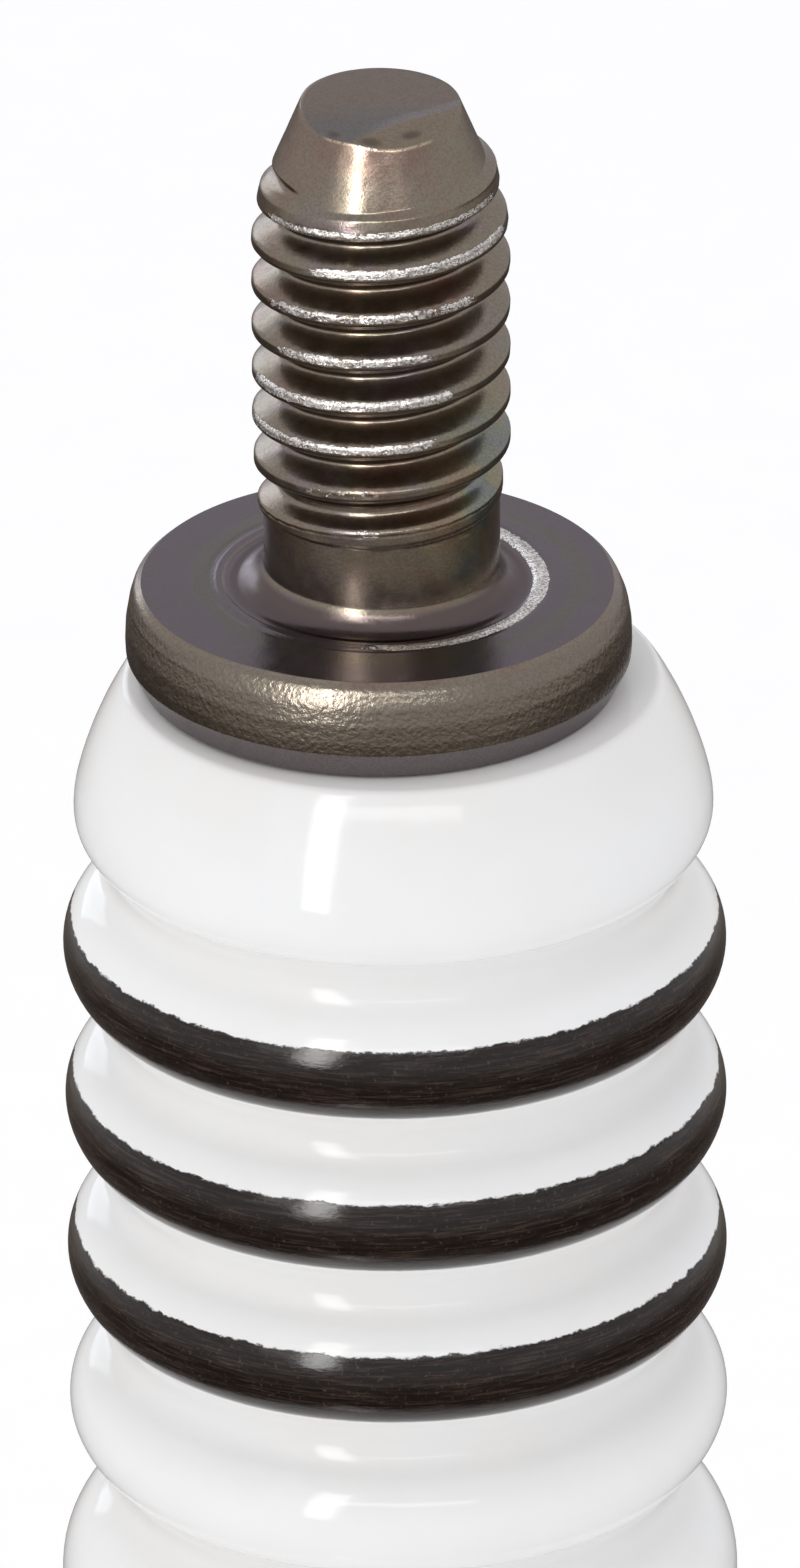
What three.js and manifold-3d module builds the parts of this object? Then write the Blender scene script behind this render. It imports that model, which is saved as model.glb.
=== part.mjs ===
// Motorcycle spark plug: M12 x 1.25 thread, 19 mm reach, 17.5 mm hexagon, ribbed insulator,
// bare M4 terminal stud. Millimetres. The origin is on the axis in the plane of the shell's
// gasket seat; +Z runs along the axis to the terminal.
import * as THREE from "three";
import { mergeVertices } from "three/addons/utils/BufferGeometryUtils.js";
import Module from "manifold-3d";

const wasm = await Module();
wasm.setup();

// ---------------------------------------------------------------- driving dimensions

const FACETS = 30; // around the insulator and the shell
const STUD_FACETS = 18;
const SMALL_FACETS = 24; // around the pieces inside the insulator's bore
const CLEARANCE = 0.05; // between sealed or clamped neighbours
const RIGHT_ANGLE = Math.PI / 2;
const RIDGE_BASE = 0.44; // half width of a thread's ridge at its base, over the pitch
const RIDGE_CREST = 0.14; // and at its crest

// Insulator: ribs are counted from the terminal end.
const INSULATOR_TOP = 40.5;
const CAP_HEIGHT = 6.9; // insulator's top face to the second rib's centre
const RIB_COUNT = 4;
const RIB_PITCH = 2.55;
const RIB_RADIUS = 5.0;
const RIB_ARC = 0.95;
const GROOVE_ARC = 0.5;
const BODY_RADIUS = 5.15;
const BODY_SHOULDER_ARC = 1.6;
const CAP_RADIUS = 4.81;
const CAP_ARC = 0.64; // below the cap's widest point
const CAP_SHOULDER_ARC = 1.7; // above it
const CAP_SHOULDER_SWEEP = THREE.MathUtils.degToRad(14.5);
const CAP_CROWN_ARC = 5.75;
const CAP_EDGE_ARC = 0.3;
const COLLAR_RADIUS = 6.2; // the wide section clamped inside the hexagon
const COLLAR_TOP = 7.5;
const COLLAR_SHOULDER_TOP = 8.3;
const COLLAR_BOTTOM = 3.0;
const WAIST_RADIUS = 3.85; // inside the threaded neck
const WAIST_TOP = 0.9;
const SEAT_CONE_TOP = -5.2;
const NOSE_ROOT_RADIUS = 3.05;
const NOSE_TIP_RADIUS = 2.3;
const NOSE_END = -20.0;
const NOSE_BEVEL = [0.15, 0.4]; // inset and rise
const BORE_RADIUS = 1.95;
const BORE_STEP = -1.75; // the centre electrode's head rests on the cone below this
const BORE_CONE_HEIGHT = 0.65;
const STEM_BORE_RADIUS = 1.3;

// Terminal stud: M4 x 0.7, rolled thread, so the shank has the pitch diameter.
const STUD_TIP = INSULATOR_TOP - CAP_HEIGHT + 16.36;
const STUD_CREST = 1.92;
const STUD_ROOT = 1.54;
const STUD_SHANK = 1.765;
const STUD_PITCH = 0.7;
const STUD_THREAD_BOTTOM = INSULATOR_TOP - CAP_HEIGHT + 10.1;
const STUD_CONE_HEIGHT = 1.41;
const STUD_TIP_RADIUS = 1.18;
const STUD_TIP_BEVEL = [0.08, 0.05]; // inset and drop
const STUD_RUN_OUT = 0.25; // height of the cone from the shank down to the thread's root
const STUD_PHASE = THREE.MathUtils.degToRad(-90); // where the crest passes STUD_CREST_HEIGHT
const STUD_CREST_HEIGHT = INSULATOR_TOP - CAP_HEIGHT + 12.89;
const FLANGE_RADIUS = 3.8;
const FLANGE_TOP = INSULATOR_TOP + 1.62;
const FLANGE_FOOT_RADIUS = 3.56;
const FLANGE_BEVEL_TOP = 0.42; // above the foot
const FLANGE_WIDEST = 0.85; // above the foot
// The flange's top from its rim to the fillet at the shank, as [radius, depth under FLANGE_TOP].
const FLANGE_FACE = [
  [3.79, 0.42],
  [3.7, 0.21],
  [3.46, 0.09],
  [3.2, 0],
  [2.44, 0],
  [2.38, 0.04],
  [2.2, 0.02],
  [1.95, -0.06],
  [STUD_SHANK, -0.28],
];
const STUD_ROD = 1.55; // plain rod down the bore
const STUD_ROD_END = 13.0;
const STUD_SPIGOT = 1.85; // centres the stud in the mouth of the bore
const STUD_SPIGOT_DEPTH = 0.9;
const KEY_COUNT = 3; // grooves that key the rod's end into the glass
const KEY_PITCH = 1.2;
const KEY_BOTTOM = 1.2; // radius
const KEY_LAND = 1.42; // radius
const KEY_RISE = 0.3;

// Conductive seal stack in the bore, top to bottom.
const UPPER_SEAL = [11.5, 17.0];
const RESISTOR = [3.55, 11.45];
const LOWER_SEAL = [-1.1, 3.5];
const SEAL_RADIUS = BORE_RADIUS - 0.03;

// Centre electrode: nickel sheath round a copper core.
const ELECTRODE_HEAD_TOP = -0.1;
const ELECTRODE_HEAD_RADIUS = 1.4;
const ELECTRODE_COLLAR_RADIUS = 1.8;
const ELECTRODE_COLLAR_HEIGHT = 0.45;
const ELECTRODE_CONE = 0.6; // height of the cone under the collar
const ELECTRODE_STEM = 1.25;
const ELECTRODE_BEVEL = 0.08;
const ELECTRODE_TIP = -21.3;
const CORE_RADIUS = 0.7;
const CORE_END = -19.4;
const CORE_POINT = 0.4;

// Shell.
const HEX_ACROSS_FLATS = 17.5;
const HEX_BOTTOM = 4.4;
const HEX_TOP = 12.4;
const HEX_CHAMFER_RISE = 0.75;
const SEAT_RADIUS = 8.4;
const SEAT_COLLAR_TOP = 3.1;
const SHRINK_GROOVE_RADIUS = 7.3;
const SEAT_BEVEL = 0.2;
const GROOVE_FILLET = [0.15, 0.1]; // outset and rise, at the foot of the groove under the hexagon
const SHELL_BORE = 6.3;
const SHELL_FLARE = [0.65, 2.75]; // bottom and top of the cone between the waist and the bore
const SHELL_WAIST = 3.95;
const SHELL_LEDGE = 3.3;
const LEDGE_CONE = -9.55; // the ledge is a 45 degree cone: height = radius + this
const LEDGE_BOTTOM = -7.3;
const SHELL_NOSE_BORE = 3.7;
const SHELL_END = -19.0;
const SHELL_END_BEVEL = 0.3;
const NECK_RADIUS = 5.2;
const THREAD_CREST = 5.97;
const THREAD_ROOT = 5.25;
const THREAD_PITCH = 1.25;
const THREAD_TOP = -2.9;
const THREAD_RUN_OUT = 0.65;
const CRIMP_TOP = 15.0;
const CRIMP_ARC = 1.6; // outside radius of the rolled-over edge
const CRIMP_LIP = 5.3;
// Underside of the rolled-over edge, from the bore to the lip, as [radius, height].
const CRIMP_UNDERSIDE = [
  [SHELL_BORE, 13.25],
  [6.1, 13.75],
  [5.65, 14.1],
  [CRIMP_LIP, 14.3],
];

// Packing above the insulator's collar.
const WIRE_RADIUS = 0.5;
const LOWER_WIRE = 8.9;
const UPPER_WIRE = 13.1;

// Thin washer between the insulator and the shell's ledge.
const WASHER_RADII = [3.38, 3.86];
const WASHER_THICKNESS = 0.36; // measured along the axis
const WASHER_LIFT = 0.07; // above the ledge

// Outer gasket: folded sheet steel, held captive on the neck and free to turn.
const GASKET_OUTER = 8.1;
const GASKET_INNER = 5.75;
const GASKET_TOP = -CLEARANCE;
const GASKET_BOTTOM = -2.0;
const GASKET_CORNER = 0.5;
const GASKET_SHEET = 0.42;
const GASKET_MOUTH = [0.45, 0.25]; // how far the fold opens at the bore: depth and flare
const GASKET_FOLD = [0.75, 0.5]; // the fold's corners and its end, in from the rim

// Ground electrode: a strap welded to the shell's end face.
const STRAP_WIDTH = 2.6;
const STRAP_THICKNESS = 1.2;
const STRAP_OUTER = 5.05;
const SPARK_GAP = 0.8;
const STRAP_BEND = 0.9; // inside radius
const STRAP_REACH = -1.1; // how far past the axis the free end stops

// ---------------------------------------------------------------- shape helpers

const polar = (r, z, radius, angle) => [
  r + radius * Math.cos(angle),
  z + radius * Math.sin(angle),
];

// Points on an arc round (r, z), angles in radians from the outward radius.
function arc(r, z, radius, from, to, steps) {
  return Array.from({ length: steps + 1 }, (_, i) =>
    polar(r, z, radius, from + ((to - from) * i) / steps),
  );
}

// A closed ring or a solid of revolution about Z, from [radius, height] points run
// counter-clockwise round the section.
function lathe(points, facets = FACETS) {
  const closed = points[0][0] > 0 ? [...points, points[0]] : points;
  const outline = closed.map(([r, z]) => new THREE.Vector2(r, z));
  return new THREE.LatheGeometry(outline, facets).rotateX(RIGHT_ANGLE);
}

// A round bar or tube with square ends.
const tube = (inner, outer, bottom, top, facets) =>
  lathe(
    [
      [inner, bottom],
      [outer, bottom],
      [outer, top],
      [inner, top],
    ],
    facets,
  );

// One thread's ridge: a trapezoid carried along a right-hand helix, with its base sunk in the core.
// It passes `height` at the angle `phase`, and fades into the core over `fade` turns at each end.
function threadRidge({ root, crest, pitch, bottom, top, height, phase, facets, fade }) {
  const sunk = 0.12;
  const baseHalf = pitch * RIDGE_BASE;
  const crestHalf = pitch * RIDGE_CREST;
  const firstTurn = (bottom - height) / pitch;
  const lastTurn = (top - height) / pitch;
  const first = Math.ceil(firstTurn * facets);
  const last = Math.floor(lastTurn * facets);
  const positions = [];
  for (let i = first; i <= last; i++) {
    const turn = i / facets;
    const angle = phase + 2 * Math.PI * turn;
    const z = height + pitch * turn;
    const ramp = Math.min(1, (turn - firstTurn) / fade, (lastTurn - turn) / fade);
    const tall = root - sunk / 2 + (crest - root + sunk / 2) * Math.max(0, ramp);
    const section = [
      [root - sunk, -baseHalf],
      [tall, -crestHalf],
      [tall, crestHalf],
      [root - sunk, baseHalf],
    ];
    for (const [r, dz] of section)
      positions.push(r * Math.cos(angle), r * Math.sin(angle), z + dz);
  }
  const index = [];
  const sections = last - first + 1;
  for (let i = 0; i + 1 < sections; i++)
    for (let k = 0; k < 4; k++) {
      const a = 4 * i + k;
      const b = 4 * i + ((k + 1) % 4);
      index.push(a, a + 4, b, b, a + 4, b + 4);
    }
  const end = 4 * (sections - 1);
  index.push(0, 1, 2, 0, 2, 3, end, end + 2, end + 1, end, end + 3, end + 2);
  return new THREE.BufferGeometry()
    .setAttribute("position", new THREE.Float32BufferAttribute(positions, 3))
    .setIndex(index);
}

function toSolid(geometry) {
  const plain = geometry.clone().deleteAttribute("normal").deleteAttribute("uv");
  const merged = mergeVertices(plain, 1e-4);
  return new wasm.Manifold(
    new wasm.Mesh({
      numProp: 3,
      vertProperties: merged.attributes.position.array,
      triVerts: new Uint32Array(merged.index.array),
    }),
  );
}

function toGeometry(solid) {
  const mesh = solid.getMesh();
  return new THREE.BufferGeometry()
    .setAttribute("position", new THREE.BufferAttribute(mesh.vertProperties, 3))
    .setIndex(new THREE.BufferAttribute(mesh.triVerts, 1));
}

// ---------------------------------------------------------------- insulator

function insulator() {
  const ribCentre = RIB_RADIUS - RIB_ARC;
  const halfPitch = RIB_PITCH / 2;
  const grooveCentre = ribCentre + Math.sqrt((RIB_ARC + GROOVE_ARC) ** 2 - halfPitch ** 2);
  const ribSweep = Math.atan2(halfPitch, grooveCentre - ribCentre);
  const ribHeight = (i) => INSULATOR_TOP - CAP_HEIGHT + RIB_PITCH * (1 - i);
  const groove = (z, from, to) => arc(grooveCentre, z, GROOVE_ARC, from, to, 2);

  // Body shoulder below the last rib: its arc meets the last groove.
  const lastGroove = ribHeight(RIB_COUNT - 1) - halfPitch;
  const shoulderCentre = BODY_RADIUS - BODY_SHOULDER_ARC;
  const shoulderDrop = Math.sqrt(
    (BODY_SHOULDER_ARC + GROOVE_ARC) ** 2 - (grooveCentre - shoulderCentre) ** 2,
  );
  const shoulderSweep = Math.atan2(shoulderDrop, grooveCentre - shoulderCentre);

  // Cap above the first rib: its lowest arc meets the first groove, and the shoulder, crown
  // and edge arcs follow tangent to one another up to the top face.
  const firstGroove = ribHeight(0) + halfPitch;
  const capCentre = CAP_RADIUS - CAP_ARC;
  const capRise = Math.sqrt(
    (CAP_ARC + GROOVE_ARC) ** 2 - (grooveCentre - capCentre) ** 2,
  );
  const capSweep = Math.atan2(capRise, grooveCentre - capCentre);
  const capWidest = firstGroove + capRise;
  const shoulder = [CAP_RADIUS - CAP_SHOULDER_ARC, capWidest];
  const crown = polar(...shoulder, CAP_SHOULDER_ARC - CAP_CROWN_ARC, CAP_SHOULDER_SWEEP);
  const crownReach = CAP_CROWN_ARC - CAP_EDGE_ARC;
  const crownSweep = Math.asin((INSULATOR_TOP - CAP_EDGE_ARC - crown[1]) / crownReach);
  const edge = polar(...crown, crownReach, crownSweep);

  const outline = [
    [STEM_BORE_RADIUS, NOSE_END],
    [NOSE_TIP_RADIUS - NOSE_BEVEL[0], NOSE_END],
    [NOSE_TIP_RADIUS, NOSE_END + NOSE_BEVEL[1]],
    [NOSE_ROOT_RADIUS, SEAT_CONE_TOP - (WAIST_RADIUS - NOSE_ROOT_RADIUS)],
    [WAIST_RADIUS, SEAT_CONE_TOP],
    [WAIST_RADIUS, WAIST_TOP],
    [COLLAR_RADIUS, COLLAR_BOTTOM],
    [COLLAR_RADIUS, COLLAR_TOP],
    [BODY_RADIUS, COLLAR_SHOULDER_TOP],
    ...arc(shoulderCentre, lastGroove - shoulderDrop, BODY_SHOULDER_ARC, 0, shoulderSweep, 3),
    ...groove(lastGroove, Math.PI + shoulderSweep, Math.PI - ribSweep).slice(1),
  ];
  for (let i = RIB_COUNT - 1; i >= 0; i--) {
    outline.push(...arc(ribCentre, ribHeight(i), RIB_ARC, -ribSweep, ribSweep, 4).slice(1));
    const sweepAbove = i ? ribSweep : capSweep;
    outline.push(
      ...groove(ribHeight(i) + halfPitch, Math.PI + ribSweep, Math.PI - sweepAbove).slice(1));
  }
  outline.push(
    ...arc(capCentre, capWidest, CAP_ARC, -capSweep, 0, 2).slice(1),
    ...arc(...shoulder, CAP_SHOULDER_ARC, 0, CAP_SHOULDER_SWEEP, 1).slice(1),
    ...arc(...crown, CAP_CROWN_ARC, CAP_SHOULDER_SWEEP, crownSweep, 2).slice(1),
    ...arc(...edge, CAP_EDGE_ARC, crownSweep, RIGHT_ANGLE, 2).slice(1),
    [BORE_RADIUS, INSULATOR_TOP],
    [BORE_RADIUS, BORE_STEP],
    [STEM_BORE_RADIUS, BORE_STEP - BORE_CONE_HEIGHT],
  );
  return lathe(outline);
}

// ---------------------------------------------------------------- terminal and the stack in the bore

function terminalStud() {
  const flangeFoot = INSULATOR_TOP + CLEARANCE;
  const coneFoot = STUD_TIP - STUD_CONE_HEIGHT;
  const keyRings = Array.from({ length: KEY_COUNT }, (_, i) => {
    const base = STUD_ROD_END + KEY_RISE + KEY_PITCH * i;
    return [
      [KEY_BOTTOM, base],
      [KEY_LAND, base + KEY_RISE],
      [KEY_LAND, base + KEY_PITCH - KEY_RISE],
    ];
  }).flat();
  const keysTop = STUD_ROD_END + KEY_RISE + KEY_PITCH * KEY_COUNT;
  const spigotFoot = flangeFoot - STUD_SPIGOT_DEPTH;
  const outline = [
    [0, STUD_ROD_END],
    [KEY_BOTTOM - 0.1, STUD_ROD_END],
    ...keyRings,
    [KEY_BOTTOM, keysTop],
    [STUD_ROD, keysTop + STUD_ROD - KEY_BOTTOM],
    [STUD_ROD, spigotFoot - STUD_SPIGOT + STUD_ROD],
    [STUD_SPIGOT, spigotFoot],
    [STUD_SPIGOT, flangeFoot],
    [FLANGE_FOOT_RADIUS, flangeFoot],
    [FLANGE_RADIUS - 0.01, flangeFoot + FLANGE_BEVEL_TOP],
    [FLANGE_RADIUS, flangeFoot + FLANGE_WIDEST],
    ...FLANGE_FACE.map(([r, depth]) => [r, FLANGE_TOP - depth]),
    [STUD_SHANK, STUD_THREAD_BOTTOM],
    [STUD_ROOT, STUD_THREAD_BOTTOM + STUD_RUN_OUT],
    [STUD_ROOT, coneFoot - STUD_RUN_OUT],
    [STUD_SHANK, coneFoot],
    [STUD_TIP_RADIUS, STUD_TIP - STUD_TIP_BEVEL[1]],
    [STUD_TIP_RADIUS - STUD_TIP_BEVEL[0], STUD_TIP],
    [0, STUD_TIP],
  ];
  const thread = threadRidge({
    root: STUD_ROOT, crest: STUD_CREST, pitch: STUD_PITCH,
    bottom: STUD_THREAD_BOTTOM + STUD_RUN_OUT / 2, top: coneFoot + STUD_RUN_OUT / 2,
    height: STUD_CREST_HEIGHT, phase: STUD_PHASE, facets: STUD_FACETS, fade: 0.6,
  });
  return toGeometry(toSolid(lathe(outline, STUD_FACETS)).add(toSolid(thread)));
}

// Glass seal with a blind pocket that wraps the metal end pressed into it.
function glassSeal([bottom, top], pocketRadius, pocketFace, pocketAtTop) {
  const shut = pocketAtTop ? bottom : top;
  const open = pocketAtTop ? top : bottom;
  const outline = [
    [0, shut],
    [SEAL_RADIUS, shut],
    [SEAL_RADIUS, open],
    [pocketRadius, open],
    [pocketRadius, pocketFace],
    [0, pocketFace],
  ];
  return lathe(pocketAtTop ? outline : outline.reverse(), SMALL_FACETS);
}

const upperGlassSeal = () =>
  glassSeal(UPPER_SEAL, KEY_LAND + 0.08, STUD_ROD_END - CLEARANCE, true);
const lowerGlassSeal = () =>
  glassSeal(LOWER_SEAL, ELECTRODE_HEAD_RADIUS + CLEARANCE, ELECTRODE_HEAD_TOP + CLEARANCE, false);
const resistor = () =>
  lathe(
    [
      [0, RESISTOR[0]],
      [SEAL_RADIUS, RESISTOR[0]],
      [SEAL_RADIUS, RESISTOR[1]],
      [0, RESISTOR[1]],
    ],
    SMALL_FACETS,
  );

// ---------------------------------------------------------------- centre electrode

const centreElectrodeSheath = () =>
  lathe(
    [
      [0, ELECTRODE_TIP],
      [ELECTRODE_STEM - ELECTRODE_BEVEL, ELECTRODE_TIP],
      [ELECTRODE_STEM, ELECTRODE_TIP + ELECTRODE_BEVEL],
      [ELECTRODE_STEM, BORE_STEP - ELECTRODE_CONE],
      [ELECTRODE_COLLAR_RADIUS, BORE_STEP],
      [ELECTRODE_COLLAR_RADIUS, BORE_STEP + ELECTRODE_COLLAR_HEIGHT],
      [ELECTRODE_HEAD_RADIUS, BORE_STEP + ELECTRODE_COLLAR_HEIGHT + 0.15],
      [ELECTRODE_HEAD_RADIUS, ELECTRODE_HEAD_TOP],
      [CORE_RADIUS + CLEARANCE, ELECTRODE_HEAD_TOP],
      [CORE_RADIUS + CLEARANCE, CORE_END],
      [0, CORE_END - CORE_POINT],
    ],
    SMALL_FACETS,
  );

const centreElectrodeCore = () =>
  lathe(
    [
      [0, CORE_END - CORE_POINT + CLEARANCE + 0.02],
      [CORE_RADIUS, CORE_END + CLEARANCE],
      [CORE_RADIUS, ELECTRODE_HEAD_TOP - CLEARANCE],
      [0, ELECTRODE_HEAD_TOP - CLEARANCE],
    ],
    SMALL_FACETS,
  );

// ---------------------------------------------------------------- shell

// Inside of the shell, as a solid to subtract: it runs past both ends.
function shellBore() {
  return lathe([
    [0, SHELL_END - 1],
    [SHELL_NOSE_BORE, SHELL_END - 1],
    [SHELL_NOSE_BORE, LEDGE_BOTTOM - SHELL_NOSE_BORE + SHELL_LEDGE],
    [SHELL_LEDGE, LEDGE_BOTTOM],
    [SHELL_LEDGE, SHELL_LEDGE + LEDGE_CONE],
    [SHELL_WAIST, SHELL_WAIST + LEDGE_CONE],
    [SHELL_WAIST, SHELL_FLARE[0]],
    [SHELL_BORE, SHELL_FLARE[1]],
    ...CRIMP_UNDERSIDE,
    [CRIMP_LIP, CRIMP_TOP + 1],
    [0, CRIMP_TOP + 1],
  ]);
}

// Turned outside of the shell, without its hexagon and thread.
function shellBlank() {
  const grooveFoot = SEAT_COLLAR_TOP + GROOVE_FILLET[1];
  const crimpHeight = CRIMP_TOP - CRIMP_ARC;
  const crimpCentre = SHRINK_GROOVE_RADIUS - CRIMP_ARC;
  return lathe([
    [0, SHELL_END],
    [THREAD_ROOT - SHELL_END_BEVEL, SHELL_END],
    [THREAD_ROOT, SHELL_END + SHELL_END_BEVEL],
    [THREAD_ROOT, THREAD_TOP],
    [NECK_RADIUS, THREAD_TOP + 0.1],
    [NECK_RADIUS, 0],
    [SEAT_RADIUS - SEAT_BEVEL, 0],
    [SEAT_RADIUS, SEAT_BEVEL],
    [SEAT_RADIUS, SEAT_COLLAR_TOP - SEAT_BEVEL],
    [SEAT_RADIUS - SEAT_BEVEL, SEAT_COLLAR_TOP],
    [SHRINK_GROOVE_RADIUS + GROOVE_FILLET[0], grooveFoot],
    [SHRINK_GROOVE_RADIUS, grooveFoot + GROOVE_FILLET[0]],
    ...arc(crimpCentre, crimpHeight, CRIMP_ARC, 0, RIGHT_ANGLE, 4),
    [0, CRIMP_TOP],
  ]);
}

// Hexagon with its corners turned off at both ends.
function hexagon() {
  const across = HEX_ACROSS_FLATS / 2;
  const corner = across / Math.cos(Math.PI / 6);
  const corners = Array.from({ length: 6 }, (_, i) => {
    const angle = (i * Math.PI) / 3;
    return new THREE.Vector2(corner * Math.cos(angle), corner * Math.sin(angle));
  });
  const prism = new THREE.ExtrudeGeometry(new THREE.Shape(corners), {
    depth: HEX_TOP - HEX_BOTTOM,
    bevelEnabled: false,
  }).translate(0, 0, HEX_BOTTOM);
  const chamferFoot = across - 0.3;
  const clear = corner + 0.1;
  const turned = lathe([
    [0, HEX_BOTTOM - 1],
    [chamferFoot, HEX_BOTTOM],
    [clear, HEX_BOTTOM + HEX_CHAMFER_RISE],
    [clear, HEX_TOP - HEX_CHAMFER_RISE],
    [chamferFoot, HEX_TOP],
    [0, HEX_TOP + 1],
  ]);
  return toSolid(prism).intersect(toSolid(turned));
}

function metalShell() {
  const thread = threadRidge({
    root: THREAD_ROOT, crest: THREAD_CREST, pitch: THREAD_PITCH,
    bottom: SHELL_END + THREAD_RUN_OUT, top: THREAD_TOP - THREAD_RUN_OUT,
    height: SHELL_END + THREAD_PITCH, phase: -RIGHT_ANGLE, facets: FACETS / 2, fade: 0.6,
  });
  return toGeometry(
    toSolid(shellBlank()).add(hexagon()).add(toSolid(thread)).subtract(toSolid(shellBore())),
  );
}

// ---------------------------------------------------------------- packing, gaskets and ground electrode

const packingRing = (height) =>
  lathe(
    arc((SHELL_BORE + BODY_RADIUS) / 2, height, WIRE_RADIUS, 0, 2 * Math.PI, 8).slice(0, -1),
    SMALL_FACETS,
  );

const talcPacking = () =>
  tube(
    BODY_RADIUS + CLEARANCE,
    SHELL_BORE - CLEARANCE,
    LOWER_WIRE + WIRE_RADIUS + CLEARANCE,
    UPPER_WIRE - WIRE_RADIUS - CLEARANCE,
    FACETS,
  );

// Lies on the ledge's 45 degree cone.
function innerSeatGasket() {
  const [inner, outer] = WASHER_RADII;
  const bottom = LEDGE_CONE + WASHER_LIFT;
  const top = bottom + WASHER_THICKNESS;
  return lathe(
    [
      [inner, inner + bottom],
      [outer, outer + bottom],
      [outer, outer + top],
      [inner, inner + top],
    ],
    SMALL_FACETS,
  );
}

// Folded ring: a rounded section slit open from the bore side, as the rolled sheet leaves it.
function outerGasket() {
  const corner = (r, z, from) => arc(r, z, GASKET_CORNER, from, from + RIGHT_ANGLE, 2);
  const inner = GASKET_INNER + GASKET_CORNER;
  const outer = GASKET_OUTER - GASKET_CORNER;
  const foldTop = GASKET_TOP - GASKET_SHEET;
  const foldBottom = GASKET_BOTTOM + GASKET_SHEET;
  return lathe([
    ...corner(inner, GASKET_BOTTOM + GASKET_CORNER, -Math.PI),
    ...corner(outer, GASKET_BOTTOM + GASKET_CORNER, -RIGHT_ANGLE),
    ...corner(outer, GASKET_TOP - GASKET_CORNER, 0),
    ...corner(inner, GASKET_TOP - GASKET_CORNER, RIGHT_ANGLE),
    [GASKET_INNER + GASKET_MOUTH[0], foldTop - GASKET_MOUTH[1]],
    [GASKET_OUTER - GASKET_FOLD[0], foldTop],
    [GASKET_OUTER - GASKET_FOLD[1], (foldTop + foldBottom) / 2],
    [GASKET_OUTER - GASKET_FOLD[0], foldBottom],
    [GASKET_INNER + GASKET_MOUTH[0], foldBottom + GASKET_MOUTH[1]],
  ]);
}

function groundElectrode() {
  const inside = STRAP_OUTER - STRAP_THICKNESS;
  const top = SHELL_END - CLEARANCE;
  const face = ELECTRODE_TIP - SPARK_GAP; // the face across the spark gap
  const bendRadius = inside - STRAP_BEND;
  const side = new THREE.Shape();
  side.moveTo(inside, top);
  side.lineTo(inside, face + STRAP_BEND);
  side.absarc(bendRadius, face + STRAP_BEND, STRAP_BEND, 0, -RIGHT_ANGLE, true);
  side.lineTo(STRAP_REACH, face);
  side.lineTo(STRAP_REACH, face - STRAP_THICKNESS);
  side.lineTo(bendRadius, face - STRAP_THICKNESS);
  side.absarc(bendRadius, face + STRAP_BEND, STRAP_BEND + STRAP_THICKNESS, -RIGHT_ANGLE, 0);
  side.lineTo(STRAP_OUTER, top);
  const strap = new THREE.ExtrudeGeometry(side, {
    depth: STRAP_WIDTH,
    bevelEnabled: false,
    curveSegments: 6,
  });
  return strap.translate(0, 0, -STRAP_WIDTH / 2).rotateX(RIGHT_ANGLE);
}

// ---------------------------------------------------------------- assembly

const finish = {
  darkSteel: { color: 0x6a6158, roughness: 0.35, metalness: 1.0 },
  glazedAlumina: { color: 0xf2f1ee, roughness: 0.08, metalness: 0.0 },
  platedSteel: { color: 0xb9bcc0, roughness: 0.28, metalness: 1.0 },
  nickel: { color: 0xa9a49a, roughness: 0.4, metalness: 1.0 },
  copper: { color: 0xb87350, roughness: 0.35, metalness: 1.0 },
  copperGlass: { color: 0x7a4a38, roughness: 0.5, metalness: 0.3 },
  carbonGlass: { color: 0x2b2b2e, roughness: 0.7, metalness: 0.0 },
  talc: { color: 0xd9d6cf, roughness: 0.95, metalness: 0.0 },
  gasketSteel: { color: 0xa8abae, roughness: 0.32, metalness: 1.0 },
};

const plug = new THREE.Group();

function add(name, geometry, look) {
  const mesh = new THREE.Mesh(geometry, new THREE.MeshStandardMaterial(finish[look]));
  mesh.name = name;
  plug.add(mesh);
}

add("terminal_stud", terminalStud(), "darkSteel");
add("insulator", insulator(), "glazedAlumina");
add("upper_glass_seal", upperGlassSeal(), "copperGlass");
add("resistor", resistor(), "carbonGlass");
add("lower_glass_seal", lowerGlassSeal(), "copperGlass");
add("centre_electrode_sheath", centreElectrodeSheath(), "nickel");
add("centre_electrode_core", centreElectrodeCore(), "copper");
add("metal_shell", metalShell(), "platedSteel");
add("upper_packing_ring", packingRing(UPPER_WIRE), "gasketSteel");
add("talc_packing", talcPacking(), "talc");
add("lower_packing_ring", packingRing(LOWER_WIRE), "gasketSteel");
add("inner_seat_gasket", innerSeatGasket(), "gasketSteel");
add("outer_gasket", outerGasket(), "gasketSteel");
add("ground_electrode", groundElectrode(), "nickel");

export default plug;
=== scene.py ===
"""Looks of a motorcycle spark plug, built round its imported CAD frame.

Lengths in this script are millimetres unless a name says otherwise; MM turns them into Blender's metres.
The frame's origin is on the plug's axis, in the plane of the gasket seat, with +Z towards the terminal.
"""

import math

import bmesh
import bpy
import numpy as np
from mathutils import Matrix, Vector, noise


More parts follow.
